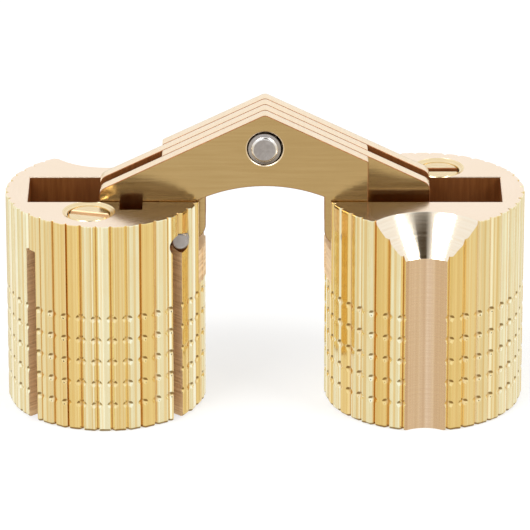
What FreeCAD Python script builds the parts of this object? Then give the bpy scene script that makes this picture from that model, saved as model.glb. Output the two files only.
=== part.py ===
import FreeCAD, Part
import math
import os
import Sketcher

# Invisible barrel hinge, fully open, standing on both barrel bottoms. Millimetres and degrees.
# X runs across the two barrels, Y along the folding axes with the front at -Y, Z up.
# The origin is on the floor, midway between the barrels.

doc = FreeCAD.newDocument("barrel_hinge")
sheet = doc.addObject("Spreadsheet::Sheet", "sizes")

SIZES = {
    # Barrel body
    "barrel_diameter": 14.0,
    "barrel_height": 15.4,
    "barrel_gap": 8.24,
    "rib_count": 40,
    "land_flat": 0.01,
    "valley_depth": 0.28,
    "valley_mouth": 0.5,
    "ring_count": 5,
    "ring_pitch": 1.62,
    "ring_depth": 0.24,
    "ring_mouth": 0.55,
    "first_ring_drop": 6.9,
    # Slot that the links fold into
    "slot_side_clearance": 0.14,
    "slot_outer_wall": 1.66,
    "slot_lip_depth": 3.2,
    "slot_relief": 0.55,
    "slot_open_depth": 6.6,
    "pocket_inner_wall": 2.7,
    # Guide groove in the slot wall
    "guide_offset": 1.85,
    "guide_depth": 1.45,
    "guide_notch_depth": 4.4,
    "guide_clearance": 0.1,
    "slide_pin_diameter": 1.4,
    # Pivot pin across the slot
    "pivot_inset": 1.73,
    "pivot_depth": 2.13,
    "pivot_pin_diameter": 1.2,
    "pivot_pin_recess": 0.25,
    "pivot_seat_depth": 1.5,
    # Links and their rivet
    "links_turn": 116.0,
    "plate_thickness": 1.04,
    "plate_gap": 0.04,
    "rivet_rise": 3.9,
    "rivet_diameter": 2.4,
    "rivet_proud": 0.08,
    "apex_rise": 2.5,
    "eye_half_width": 1.3,
    "eye_end": 1.3,
    "arch_crown_rise": 1.1,
    "arch_radius": 10.9,
    "leg_width": 4.4,
    "foot_half_width": 1.3,
    "foot_end": 1.3,
    "leg_shoulder_depth": 1.6,
    "end_clip": 0.7,
    "link_corner_radius": 0.7,
    "running_clearance": 0.04,
    "drive_clearance": 0.01,
    # Expansion screw and the saw slits beside it
    "screw_diameter": 2.9,
    "screw_length": 4.3,
    "screw_recess": 0.15,
    "screw_offset": 1.05,
    "screw_wall": 1.75,
    "screw_mouth_diameter": 3.6,
    "screw_slot_width": 0.5,
    "screw_slot_depth": 0.7,
    "left_screw_angle": -15.0,
    "slit_angle": 47.0,
    "slit_width": 0.7,
    "slit_drop": 2.6,
    # Half countersink and shank groove for a wood screw
    "seat_offset": 8.45,
    "seat_diameter": 8.8,
    "seat_depth": 2.6,
    "seat_shank_diameter": 4.4,
}
for row, (alias, size) in enumerate(SIZES.items(), start=1):
    sheet.set(f"A{row}", alias)
    sheet.set(f"B{row}", str(size))
    sheet.setAlias(f"B{row}", alias)
doc.recompute()

# Lengths worked out from the sheet. Barrel places are from its axis and its bottom face, +X inward.
barrel_radius = "sizes.barrel_diameter / 2"
barrel_height = "sizes.barrel_height"
half_spacing = "(sizes.barrel_diameter + sizes.barrel_gap) / 2"
plate_pitch = "(sizes.plate_thickness + sizes.plate_gap)"
half_stack = "(2 * sizes.plate_thickness + 1.5 * sizes.plate_gap)"
half_slot = f"({half_stack} + sizes.slot_side_clearance)"
slot_end = f"({barrel_radius} - sizes.slot_outer_wall)"
cut_margin = "sizes.barrel_diameter"
half_rib = f"{barrel_radius} * tan(180 / sizes.rib_count)"

pivot_x = f"({barrel_radius} - sizes.pivot_inset)"
pivot_z = f"({barrel_height} - sizes.pivot_depth)"
rivet_z = f"({barrel_height} + sizes.rivet_rise)"
screw_y = f"({half_slot} + sizes.screw_wall)"

# Link places from the rivet axis, X towards the link's own pivot.
eye_x = f"({half_spacing} - {pivot_x})"
eye_drop = "(sizes.rivet_rise + sizes.pivot_depth)"
leg_x = f"({half_spacing} - sizes.guide_offset)"
link_slope = "(sizes.links_turn - 90)"
leg_turn = "(180 - sizes.links_turn)"

# The slide pin ends its travel straight below where it starts: this sets how deep it starts.
closed_rivet_x = f"({pivot_x} + {eye_x} * cos(sizes.links_turn) - {eye_drop} * sin(sizes.links_turn))"
slide_drop = f"((sizes.guide_offset - {closed_rivet_x} + {leg_x} * cos({leg_turn})) / sin({leg_turn}))"
slide_z = f"({rivet_z} - {slide_drop})"

# Widest point of the pin's path, at this share of the fold, sets the width of the guide groove.
BOW_SHARE = 0.6
guide_half = "(sizes.slide_pin_diameter / 2 + sizes.guide_clearance)"


def value(text):
    """Number that an expression on the size sheet stands for."""
    return float(sheet.evalExpression(text))


def slide_place(share):
    """Slide pin's place in its barrel, as two expressions, at a share of the whole fold."""
    link = f"({share} * sizes.links_turn)"
    leg = f"({share} * {leg_turn})"
    x = (
        f"({pivot_x} + {eye_x} * cos{link} - {eye_drop} * sin{link}"
        f" - {leg_x} * cos{leg} + {slide_drop} * sin{leg})"
    )
    z = (
        f"({pivot_z} + {eye_x} * sin{link} + {eye_drop} * cos{link}"
        f" - {leg_x} * sin{leg} - {slide_drop} * cos{leg})"
    )
    return x, z


def origin_feature(body, role):
    """Origin plane or axis of a body."""
    return next(item for item in body.Origin.OriginFeatures if item.Role == role)


def sketch_on(body, role, name):
    """New sketch on one of the body's origin planes."""
    sketch = body.newObject("Sketcher::SketchObject", f"{body.Name}_{name}_sketch")
    sketch.AttachmentSupport = [(origin_feature(body, role), "")]
    sketch.MapMode = "FlatFace"
    return sketch


def dimension(sketch, kind, where, text):
    """Sketch dimension that follows an expression on the size sheet."""
    start = value(text)
    if kind == "Angle":
        start = math.radians(start)
    index = sketch.addConstraint(Sketcher.Constraint(kind, *where, start))
    sketch.setExpression(f"Constraints[{index}]", text)


def fix_point(sketch, geometry, end, x, y):
    """Hold one point of the sketch at a place given by two expressions, "0" being on the axis."""
    for kind, axis, text in (("DistanceX", -2, x), ("DistanceY", -1, y)):
        if text == "0":
            sketch.addConstraint(Sketcher.Constraint("PointOnObject", geometry, end, axis))
        else:
            dimension(sketch, kind, (-1, 1, geometry, end), text)


def vector(x, y):
    """Sketch point at the place that two expressions give."""
    return FreeCAD.Vector(value(x), value(y), 0)


def polygon(sketch, corners):
    """Closed outline of straight lines whose corners follow expressions."""
    lines = []
    for corner, following in zip(corners, corners[1:] + corners[:1]):
        lines.append(sketch.addGeometry(Part.LineSegment(vector(*corner), vector(*following))))
    for line, following, corner in zip(lines, lines[1:] + lines[:1], corners):
        sketch.addConstraint(Sketcher.Constraint("Coincident", line, 2, following, 1))
        fix_point(sketch, line, 1, *corner)


def straight_run(sketch, corners):
    """Open run of straight lines whose corners follow expressions."""
    lines = []
    for corner, following in zip(corners, corners[1:]):
        lines.append(sketch.addGeometry(Part.LineSegment(vector(*corner), vector(*following))))
        fix_point(sketch, lines[-1], 1, *corner)
    for line, following in zip(lines, lines[1:]):
        sketch.addConstraint(Sketcher.Constraint("Coincident", line, 2, following, 1))
    fix_point(sketch, lines[-1], 2, *corners[-1])
    return lines


def circle(sketch, x, y, radius):
    """Circle whose place and radius follow expressions."""
    disc = Part.Circle(vector(x, y), FreeCAD.Vector(0, 0, 1), value(radius))
    index = sketch.addGeometry(disc)
    fix_point(sketch, index, 3, x, y)
    dimension(sketch, "Radius", (index,), radius)


def feature(body, kind, name, profile, **settings):
    """Sketch-based feature at the body's tip; text settings on sizes are bound as expressions."""
    item = body.newObject(f"PartDesign::{kind}", f"{body.Name}_{name}")
    item.Profile = profile
    for key, setting in settings.items():
        if key in ("Length", "Length2"):
            item.setExpression(key, setting)
        else:
            setattr(item, key, setting)
    doc.recompute()
    return item


def turn_profile(body, kind, name, corners, x="0", y="0"):
    """Add or cut a full turn of a profile about an upright axis at x, y of the body."""
    sketch = sketch_on(body, "XZ_Plane", name)
    sketch.setExpression("AttachmentOffset.Base.x", x)
    sketch.setExpression("AttachmentOffset.Base.z", f"-({y})")
    polygon(sketch, corners)
    return feature(body, kind, name, sketch, ReferenceAxis=(sketch, ["V_Axis"]), Angle=360)


def vee(centre, radius, depth, mouth):
    """Corners of a V cut whose point is below the surface at the given radius."""
    return [
        (f"{radius} - {depth}", centre),
        (f"{radius} + {depth}", f"{centre} + {mouth}"),
        (f"{radius} + {depth}", f"{centre} - {mouth}"),
    ]


def place(body, x, y, z, axis=FreeCAD.Vector(0, 0, 1), angle="0"):
    """Place a finished piece: its origin at three expressions, turned about an axis."""
    body.Placement = FreeCAD.Placement(FreeCAD.Vector(), FreeCAD.Rotation(axis, value(angle)))
    body.setExpression("Placement.Base.x", x)
    body.setExpression("Placement.Base.y", y)
    body.setExpression("Placement.Base.z", z)
    body.setExpression("Placement.Rotation.Angle", angle)


def cut_ribs(body):
    """Upright ribs all round: flat lands between V valleys, notched across in rings low down."""
    land_x = f"{barrel_radius} - sizes.land_flat"
    lands = sketch_on(body, "XY_Plane", "land")
    polygon(
        lands,
        [
            (land_x, f"-{half_rib}"),
            (cut_margin, f"-{half_rib}"),
            (cut_margin, half_rib),
            (land_x, half_rib),
        ],
    )
    land = feature(body, "Pocket", "land", lands, Type="ThroughAll", Reversed=True)

    valleys = sketch_on(body, "XY_Plane", "valley")
    valleys.setExpression("AttachmentOffset.Rotation.Angle", "180 / sizes.rib_count")
    polygon(valleys, vee("0", barrel_radius, "sizes.valley_depth", "sizes.valley_mouth"))
    valley = feature(body, "Pocket", "valley", valleys, Type="ThroughAll", Reversed=True)

    notches = sketch_on(body, "XZ_Plane", "notches")
    for ring in range(int(value("sizes.ring_count"))):
        ring_z = f"{barrel_height} - sizes.first_ring_drop - {ring} * sizes.ring_pitch"
        polygon(notches, vee(ring_z, barrel_radius, "sizes.ring_depth", "sizes.ring_mouth"))
    notch = feature(body, "Pocket", "notches", notches, SideType="Symmetric", Length=f"2 * {half_rib}")

    ribs = body.newObject("PartDesign::PolarPattern", f"{body.Name}_ribs")
    ribs.Originals = [land, valley, notch]
    ribs.Axis = (origin_feature(body, "Z_Axis"), [""])
    ribs.Angle = 360
    ribs.setExpression("Occurrences", "sizes.rib_count")
    body.Tip = ribs
    doc.recompute()


def cut_slot(body):
    """Slot for the links: open inward at the top, a closed pocket below, relieved behind its outer lip."""
    inner_wall = f"{barrel_radius} - sizes.pocket_inner_wall"
    relief_end = f"-({slot_end} + sizes.slot_relief)"
    top = f"{barrel_height} + {cut_margin}"
    open_floor = f"{barrel_height} - sizes.slot_open_depth"
    lip = f"{barrel_height} - sizes.slot_lip_depth"
    below = f"-{cut_margin}"
    sketch = sketch_on(body, "XZ_Plane", "slot")
    corners = [
        (f"-{slot_end}", top),
        (cut_margin, top),
        (cut_margin, open_floor),
        (inner_wall, open_floor),
        (inner_wall, below),
        (relief_end, below),
        (relief_end, lip),
        (f"-{slot_end}", lip),
    ]
    polygon(sketch, corners)
    feature(body, "Pocket", "slot", sketch, SideType="Symmetric", Length=f"2 * {half_slot}")


def cut_guide(body):
    """Guide groove in the slot's front wall, widened outward below its mouth where the pin's path bows."""
    outer_x = f"sizes.guide_offset - {guide_half}"
    inner_x = f"sizes.guide_offset + {guide_half}"
    bow_x = f"{slide_place(BOW_SHARE)[0]} - {guide_half} - sizes.guide_clearance"
    top = f"{barrel_height} + {cut_margin}"
    notch = f"{barrel_height} - sizes.guide_notch_depth"
    floor = f"{slide_place(1)[1]} - {guide_half}"
    sketch = sketch_on(body, "XZ_Plane", "guide")
    corners = [
        (outer_x, top),
        (outer_x, notch),
        (bow_x, slide_z),
        (bow_x, floor),
        (inner_x, floor),
        (inner_x, top),
    ]
    polygon(sketch, corners)
    feature(body, "Pocket", "guide", sketch, Reversed=True, Length=f"{half_slot} + sizes.guide_depth")


def cut_pivot_hole(body):
    """Cross hole for the pivot pin: right through the front wall, blind in the back wall."""
    sketch = sketch_on(body, "XZ_Plane", "pivot")
    circle(sketch, pivot_x, pivot_z, "sizes.pivot_pin_diameter / 2 + sizes.drive_clearance")
    feature(
        body,
        "Pocket",
        "pivot",
        sketch,
        SideType="Two sides",
        Length=f"{half_slot} + sizes.pivot_seat_depth",
        Length2=cut_margin,
    )


def cut_screw_hole(body):
    """Countersunk hole for the expansion screw, its mouth just breaking into the slot."""
    hole_radius = "sizes.screw_diameter / 2 + sizes.running_clearance"
    mouth_radius = "sizes.screw_mouth_diameter / 2"
    floor = f"{barrel_height} - sizes.screw_recess - sizes.screw_length - sizes.drive_clearance"
    corners = [
        ("0", barrel_height),
        (mouth_radius, barrel_height),
        (hole_radius, f"{barrel_height} - sizes.screw_recess"),
        (hole_radius, floor),
        ("0", floor),
    ]
    turn_profile(body, "Groove", "screw_hole", corners, x="-sizes.screw_offset", y=f"-{screw_y}")


def cut_screw_seat(body):
    """Half countersink and shank groove down the back, for a wood screw beside the barrel."""
    seat_radius = "sizes.seat_diameter / 2"
    shank_radius = "sizes.seat_shank_diameter / 2"
    seat_floor = f"{barrel_height} - sizes.seat_depth"
    corners = [
        ("0", barrel_height),
        (seat_radius, barrel_height),
        (shank_radius, seat_floor),
        (shank_radius, "0"),
        ("0", "0"),
    ]
    turn_profile(body, "Groove", "screw_seat", corners, y="sizes.seat_offset")


def cut_slits(body):
    """Two radial saw slits that free the tongue round the expansion screw."""
    for name, sign in (("outer_slit", "-"), ("inner_slit", "+")):
        sketch = sketch_on(body, "XY_Plane", name)
        sketch.setExpression("AttachmentOffset.Rotation.Angle", f"-90 {sign} sizes.slit_angle")
        half_slit = "sizes.slit_width / 2"
        corners = [
            (half_slot, f"-{half_slit}"),
            (cut_margin, f"-{half_slit}"),
            (cut_margin, half_slit),
            (half_slot, half_slit),
        ]
        polygon(sketch, corners)
        slit_height = f"{barrel_height} - sizes.slit_drop"
        feature(body, "Pocket", name, sketch, Reversed=True, Length=slit_height)


def make_barrel(label):
    """Ribbed barrel, +X towards the other barrel, expansion screw at the front."""
    body = doc.addObject("PartDesign::Body", label)
    blank = [("0", "0"), (barrel_radius, "0"), (barrel_radius, barrel_height), ("0", barrel_height)]
    turn_profile(body, "Revolution", "blank", blank)
    cut_ribs(body)
    cut_slot(body)
    cut_guide(body)
    cut_pivot_hole(body)
    cut_screw_hole(body)
    cut_screw_seat(body)
    cut_slits(body)
    return body


def make_link(label):
    """Link plate from the rivet axis: pivot eye at +X, sliding leg at -X, arched between them."""
    body = doc.addObject("PartDesign::Body", label)
    sketch = sketch_on(body, "XZ_Plane", "outline")
    outer_x = f"-({leg_x} + sizes.leg_width / 2)"
    inner_x = f"-({leg_x} - sizes.leg_width / 2)"
    shoulder = "-(sizes.rivet_rise + sizes.leg_shoulder_depth)"
    corner_radius = "sizes.link_corner_radius"
    corner_y = f"(sizes.apex_rise + {outer_x} * tan({link_slope}))"
    foot_y = f"-({slide_drop} + sizes.foot_end)"
    foot_left = f"-({leg_x} + sizes.foot_half_width)"
    foot_right = f"-({leg_x} - sizes.foot_half_width)"
    crown_y = "(sizes.arch_crown_rise - sizes.rivet_rise)"
    arch_y = f"({crown_y} - sizes.arch_radius)"
    neck_x = f"({eye_x} - sizes.eye_half_width)"
    end_x = f"({eye_x} + sizes.eye_half_width)"
    eye_y = f"-({eye_drop} + sizes.eye_end)"

    # Straight sides, counter-clockwise from the apex: down the leg to the arch, then from the arch to the apex.
    apex = ("0", "sizes.apex_rise")
    slope_end = (f"{outer_x} + {corner_radius}", f"{corner_y} + {corner_radius} * tan({link_slope})")
    side_start = (outer_x, f"{corner_y} - {corner_radius} / 2")
    leg_side = [
        (outer_x, shoulder),
        (foot_left, f"-{slide_drop}"),
        (f"{foot_left} + sizes.end_clip", foot_y),
        (f"{foot_right} - sizes.end_clip", foot_y),
        (foot_right, f"-{slide_drop}"),
        (inner_x, f"{arch_y} + sqrt(sizes.arch_radius ^ 2 - {inner_x} ^ 2)"),
    ]
    eye_side = [
        (neck_x, f"{arch_y} + sqrt(sizes.arch_radius ^ 2 - {neck_x} ^ 2)"),
        (neck_x, f"-{eye_drop}"),
        (f"{neck_x} + sizes.end_clip", eye_y),
        (f"{end_x} - sizes.end_clip", eye_y),
        (end_x, f"-{eye_drop}"),
        (end_x, f"(sizes.apex_rise - {end_x} * tan({link_slope}))"),
        apex,
    ]
    corner_middle = vector(f"{outer_x} + {corner_radius} / 4", f"{corner_y} - {corner_radius} / 8")
    slope = sketch.addGeometry(Part.LineSegment(vector(*apex), vector(*slope_end)))
    corner = sketch.addGeometry(Part.Arc(vector(*slope_end), corner_middle, vector(*side_start)))
    side = sketch.addGeometry(Part.LineSegment(vector(*side_start), vector(*leg_side[0])))
    leg_lines = straight_run(sketch, leg_side)
    crown = vector("0", crown_y)
    arch = sketch.addGeometry(Part.Arc(vector(*leg_side[-1]), crown, vector(*eye_side[0])))
    eye_lines = straight_run(sketch, eye_side)

    # The corner follows from its radius and two tangents. The arch runs clockwise, so its ends are swapped.
    sketch.addConstraint(Sketcher.Constraint("Coincident", eye_lines[-1], 2, slope, 1))
    dimension(sketch, "Angle", (slope,), f"180 + {link_slope}")
    sketch.addConstraint(Sketcher.Constraint("Tangent", slope, 2, corner, 1))
    dimension(sketch, "Radius", (corner,), corner_radius)
    sketch.addConstraint(Sketcher.Constraint("Tangent", corner, 2, side, 1))
    sketch.addConstraint(Sketcher.Constraint("Vertical", side))
    sketch.addConstraint(Sketcher.Constraint("Coincident", side, 2, leg_lines[0], 1))
    sketch.addConstraint(Sketcher.Constraint("Coincident", leg_lines[-1], 2, arch, 2))
    sketch.addConstraint(Sketcher.Constraint("Coincident", arch, 1, eye_lines[0], 1))
    dimension(sketch, "Radius", (arch,), "sizes.arch_radius")

    circle(sketch, "0", "0", "sizes.rivet_diameter / 2 + sizes.running_clearance")
    circle(sketch, eye_x, f"-{eye_drop}", "sizes.pivot_pin_diameter / 2 + sizes.running_clearance")
    circle(sketch, f"-{leg_x}", f"-{slide_drop}", "sizes.slide_pin_diameter / 2 + sizes.drive_clearance")
    feature(body, "Pad", "plate", sketch, SideType="Symmetric", Length="sizes.plate_thickness")
    return body


def make_pin(label, diameter, length):
    """Plain round pin, standing on its own origin."""
    body = doc.addObject("PartDesign::Body", label)
    radius = f"{diameter} / 2"
    turn_profile(body, "Revolution", "turned", [("0", "0"), (radius, "0"), (radius, length), ("0", length)])
    return body


def make_screw(label):
    """Headless slotted screw, its slotted end at its own origin."""
    body = doc.addObject("PartDesign::Body", label)
    radius = "sizes.screw_diameter / 2"
    tip = "-sizes.screw_length"
    turn_profile(body, "Revolution", "turned", [("0", "0"), (radius, "0"), (radius, tip), ("0", tip)])
    sketch = sketch_on(body, "XY_Plane", "driver_slot")
    half_width = "sizes.screw_slot_width / 2"
    reach = "sizes.screw_diameter"
    slot = [
        (f"-{reach}", f"-{half_width}"),
        (reach, f"-{half_width}"),
        (reach, half_width),
        (f"-{reach}", half_width),
    ]
    polygon(sketch, slot)
    feature(body, "Pocket", "driver_slot", sketch, Length="sizes.screw_slot_depth")
    return body


pieces = []

# Two barrels, the right one turned half round.
left_barrel = make_barrel("left_barrel")
place(left_barrel, f"-{half_spacing}", "0", "0")
right_barrel = make_barrel("right_barrel")
place(right_barrel, half_spacing, "0", "0", angle="180")
pieces += [left_barrel, right_barrel]

# Four equal links from front to back: first and third pivot on the right, the others on the left.
LINKS = ("front_link", "front_inner_link", "back_inner_link", "back_link")
for layer, label in enumerate(LINKS):
    link = make_link(label)
    turned = "180" if layer % 2 else "0"
    place(link, "0", f"{layer - 1.5} * {plate_pitch}", rivet_z, angle=turned)
    pieces.append(link)

# Pins lie along Y: from front to back on the left, from back to front on the right.
lengthways = FreeCAD.Vector(1, 0, 0)
rivet_reach = f"({half_stack} + sizes.rivet_proud)"
rivet = make_pin("centre_rivet", "sizes.rivet_diameter", f"2 * {rivet_reach}")
place(rivet, "0", f"-{rivet_reach}", rivet_z, lengthways, "-90")
pieces.append(rivet)

pivot_front = f"(sqrt(({barrel_radius}) ^ 2 - {pivot_x} ^ 2) - sizes.pivot_pin_recess)"
pivot_length = f"{pivot_front} + {half_slot} + sizes.pivot_seat_depth"
slide_front = f"({half_slot} + sizes.guide_depth - sizes.guide_clearance)"
slide_length = f"{slide_front} + {plate_pitch} / 2 + sizes.plate_thickness / 2"
slide_x = f"({half_spacing} - sizes.guide_offset)"
for side, sign, angle in (("left", "-", "-90"), ("right", "", "90")):
    pivot_pin = make_pin(f"{side}_pivot_pin", "sizes.pivot_pin_diameter", pivot_length)
    place(pivot_pin, f"{sign}{eye_x}", f"{sign}{pivot_front}", pivot_z, lengthways, angle)
    slide_pin = make_pin(f"{side}_slide_pin", "sizes.slide_pin_diameter", slide_length)
    place(slide_pin, f"{sign}{slide_x}", f"{sign}{slide_front}", slide_z, lengthways, angle)
    screw = make_screw(f"{side}_expansion_screw")
    screw_x = f"{sign}({half_spacing} + sizes.screw_offset)"
    screw_turn = "sizes.left_screw_angle" if side == "left" else "180"
    place(screw, screw_x, f"{sign}{screw_y}", f"{barrel_height} - sizes.screw_recess", angle=screw_turn)
    pieces += [pivot_pin, slide_pin, screw]

doc.recompute()

for item in doc.Objects:
    if "Invalid" in item.State or "Error" in item.State:
        raise RuntimeError(f"{item.Name} failed: {item.State}")
for piece in pieces:
    if piece.Shape.isNull() or not piece.Shape.isValid():
        raise RuntimeError(f"{piece.Label} has no valid shape")

os.makedirs("parts", exist_ok=True)
for piece in pieces:
    piece.Shape.exportStep(f"parts/{piece.Label}.step")
    box = piece.Shape.BoundBox
    print(f"{piece.Label}: {piece.Shape.Volume:.2f} mm3, {len(piece.Shape.Solids)} solid,"
          f" x {box.XMin:.2f}..{box.XMax:.2f} y {box.YMin:.2f}..{box.YMax:.2f} z {box.ZMin:.2f}..{box.ZMax:.2f}")
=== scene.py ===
"""Looks of an invisible barrel hinge: two ribbed brass barrels joined by four riveted link plates.

Shapes are worked out in millimetres, each in the place of its own piece, and are scaled to metres
when the piece is put in its place in the hinge.
"""
import math

import bpy
import numpy as np
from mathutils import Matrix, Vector
from mathutils.geometry import tessellate_polygon


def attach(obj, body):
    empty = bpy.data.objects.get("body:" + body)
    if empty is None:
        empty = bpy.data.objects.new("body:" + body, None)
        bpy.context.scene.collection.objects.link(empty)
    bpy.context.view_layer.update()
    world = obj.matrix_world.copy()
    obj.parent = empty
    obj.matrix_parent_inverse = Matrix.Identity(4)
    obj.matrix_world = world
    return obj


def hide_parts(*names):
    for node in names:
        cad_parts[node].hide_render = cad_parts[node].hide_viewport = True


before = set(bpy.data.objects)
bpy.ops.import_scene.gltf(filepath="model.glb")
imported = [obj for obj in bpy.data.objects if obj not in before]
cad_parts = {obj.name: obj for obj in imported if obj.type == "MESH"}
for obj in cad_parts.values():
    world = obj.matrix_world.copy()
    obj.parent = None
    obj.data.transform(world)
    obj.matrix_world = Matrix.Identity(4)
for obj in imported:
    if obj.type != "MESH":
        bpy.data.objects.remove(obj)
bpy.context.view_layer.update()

MM = 0.001

# Barrel, from its own axis and its bottom face, +X inward.
RADIUS = 7.0
RIM = 15.4
SPACING = 11.12
RIBS = 40
LAND_LEAN = 0.15
LEAN_SEED = 7
LAND_DROP = 0.01
LEAN_ROOM = LAND_LEAN * 0.4
VALLEY_DEPTH = 0.23
VALLEY_HALF = 0.2
VALLEY_ROUND = 0.012
RING_PINCH = 0.2
RING_DEPTH = 0.01
RING_HALF = 0.24
RING_ROUND = 0.02
RING_HEIGHTS = RIM - 6.9 - 1.62 * np.arange(5)
FOOT_BREAK = 0.22
RIM_BREAK = 0.05

# Ends of cutters that reach past the barrel: outward, above the rim and below the bottom.
BEYOND = 2 * RADIUS
ABOVE = RIM + 1
BELOW = -1

# Slot, its opening on the inner side and its smooth mouth.
SLOT_HALF = 2.28
SLOT_END = -5.34
RELIEF_END = -5.89
LIP = RIM - 3.2
POCKET_END = 4.3
POCKET_LIP = RIM - 4.3
OPENING_START = POCKET_END - 0.5
OPEN_FLOOR = RIM - 3.7
FLOOR_START = 5.4
EDGE_BREAK = 0.05
MOUTH_FOOT = RIM - 6.2
MOUTH_FADE = 0.05
MOUTH_HALF = SLOT_HALF + 0.1

# Guide groove: straight at its top, then wider by a bow on the outer side.
GUIDE_X = (1.05, 2.65)
GUIDE_BOW = -0.48
GUIDE_BEND = (RIM - 4.4, RIM - 5.7)
GUIDE_Y = (-3.73, -1.0)
GUIDE_FLOOR = 2.54

# Pivot hole, with a wider mouth at the front whose walls carry painted shade: the shadow crescent
# under the pin.
PIVOT = (5.27, RIM - 2.13)
PIVOT_RADIUS = 0.6
PIVOT_HOLE_RADIUS = PIVOT_RADIUS + 0.01
PIVOT_HOLE_REACH = (-3.78, 8.0)
PIVOT_MOUTH_RADIUS = 0.72
PIVOT_MOUTH_REACH = (3.6, 8.0)
PIVOT_MOUTH_DROP = 0.1

# Expansion screw, its hole and its driver slot.
SCREW_PLACE = (-1.05, -4.03)
SCREW_RADIUS = 1.45
SCREW_TOP = RIM - 0.15
SCREW_LENGTH = 4.3
SCREW_HOLE_RADIUS = SCREW_RADIUS + 0.04
SCREW_HOLE_DROP = 0.02
SCREW_MOUTH = [(1.8, RIM - 0.03), (1.88, RIM + 0.05)]
THREAD_PITCH = 0.5
THREAD_DEPTH = 0.22
THREAD_RUN_OUT = 0.35
THREAD_START = 0.4
SCREW_TIP = 0.5
SCREW_BREAK = 0.14
DRIVER_HALF = 0.3
DRIVER_REACH = 3.0
DRIVER_GROW = 0.1
DRIVER_HEIGHTS = [-0.7, -0.06, 0.04]

# Saw slits, wood screw seat and its shank groove.
SLIT_ANGLE = 47.0
SLIT_WIDTH = 0.94
SLIT_TOP = RIM - 2.6
SEAT_Y = 8.45
SEAT_RADIUS = 4.4
SEAT_DEPTH = 2.6
SEAT_OVERLAP = 0.4
SEAT_BREAK = 0.04
SEAT_FLARE = (SEAT_RADIUS + 0.09, RIM + 0.06)
SHANK_RADIUS = 2.2

# Links, from the rivet axis, X towards the link's own pivot.
RIVET_HEIGHT = RIM + 3.9
SLOPE = math.tan(math.radians(26.0))
APEX = 2.5
EYE = (5.85, -6.03)
EYE_RADIUS = 1.3
NECK = 4.12
LEG = (-9.27, -9.6)
LEG_OUTER = -11.47
LEG_INNER = -7.07
SHOULDER = -5.5
ARCH_RADIUS = 10.9
ARCH_CENTRE = -13.7
NECK_ROUND = 1.25
END_ROUND = 0.16
APEX_ROUND = 0.5
CORNER_ROUND = 0.7
SHOULDER_ROUND = 1.5
PLATE = 1.04
PLATE_PITCH = 1.08
PLATE_EDGE = 0.045

# Rivet and pins: lengths, and the Y of the end that they are laid from.
RIVET_REACH = 2.25
RIVET_LOOSE = (-0.03, -0.06)
RIVET_END = [(0.76, 0.0), (0.82, 0.012), (0.88, 0.05), (0.92, 0.11), (1.12, 0.16), (1.16, 0.24)]
# Rows of the rivet's wall: 1 for the painted highlight on the rolled edges, 0 for plain steel.
RIVET_BRIGHT = [1, 1, 1, 0, 0, 0, 0, 0, 1, 1, 1]
PIVOT_PIN_LENGTH = 8.14
PIVOT_PIN_END = 4.36
SLIDE_RADIUS = 0.7
SLIDE_PIN_LENGTH = 4.69
SLIDE_PIN_END = 3.63
PIN_BREAK = 0.1

# Holes of the links, with the rounding of their edges.
RIVET_HOLE_RADIUS = 1.24
RIVET_HOLE_EDGE = 0.09
EYE_HOLE_RADIUS = PIVOT_RADIUS + 0.04
LEG_HOLE_RADIUS = SLIDE_RADIUS + 0.01
PIN_HOLE_EDGE = 0.03

# Turns of finished pieces; upright pieces are laid along Y with their top to the front or the back.
STRAIGHT = np.eye(3)
HALF_TURN = np.diag([-1.0, -1.0, 1.0])
TOP_TO_FRONT = np.array([[1.0, 0.0, 0.0], [0.0, 0.0, -1.0], [0.0, 1.0, 0.0]])
TOP_TO_BACK = np.array([[-1.0, 0.0, 0.0], [0.0, 0.0, 1.0], [0.0, 1.0, 0.0]])
SHARP = 35.0
PLATE_SHARP = 25.0
SQUARE_TO_AXIS = 0.99999

WHITE = (1.0, 1.0, 1.0, 1)


def in_scene(name, data):
    """New object for a mesh, a lamp or a camera, linked to the scene."""
    holder = bpy.data.objects.new(name, data)
    bpy.context.scene.collection.objects.link(holder)
    return holder


def meshed(name, points, faces, materials, kinds):
    """New piece from points and faces; kinds gives the number of each face's finish."""
    mesh = bpy.data.meshes.new(name)
    mesh.from_pydata(points, [], faces)
    for material in materials:
        mesh.materials.append(material)
    mesh.polygons.foreach_set("material_index", np.asarray(kinds, np.int32))
    return in_scene(name, mesh)


def grid_quads(rows, columns, first=0):
    """Quads of a grid closed round its columns: a point, the next, and both in the row after."""
    index = np.arange(rows * columns).reshape(rows, columns) + first
    after = np.roll(index, -1, axis=1)
    return np.stack([index[:-1], after[:-1], after[1:], index[1:]], axis=-1).reshape(-1, 4)


def solid(name, rings, materials, wall=0, ends=0):
    """Closed piece from rings of points, rows upward and columns counter-clockwise, ends flat.

    The wall has one finish, or one for each row of faces, or one for each face.
    """
    rows, columns, _ = rings.shape
    low = list(range(columns))[::-1]
    high = list(range((rows - 1) * columns, rows * columns))
    faces = grid_quads(rows, columns).tolist() + [low, high]
    kinds = np.append(np.broadcast_to(wall, (rows - 1, columns)), [ends, ends])
    return meshed(name, rings.reshape(-1, 3), faces, materials, kinds)


def round_rings(radius, angle, height, centre=(0.0, 0.0)):
    """Rings about an upright axis: (x + r cos a, y + r sin a, z) for radius r and angle a."""
    across = centre[0] + radius * np.cos(angle)
    along = centre[1] + radius * np.sin(angle)
    return np.stack([across, along, np.broadcast_to(height, across.shape)], axis=-1)


def turned(name, profile, materials, centre=(0.0, 0.0), steps=64, wall=0):
    """Revolved piece: each profile row (radius, height) becomes a ring about the centre."""
    radius, height = np.asarray(profile, float).T[:, :, None]
    angle = np.linspace(0, 2 * np.pi, steps, endpoint=False)[None]
    return solid(name, round_rings(radius, angle, height, centre), materials, wall)


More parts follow.
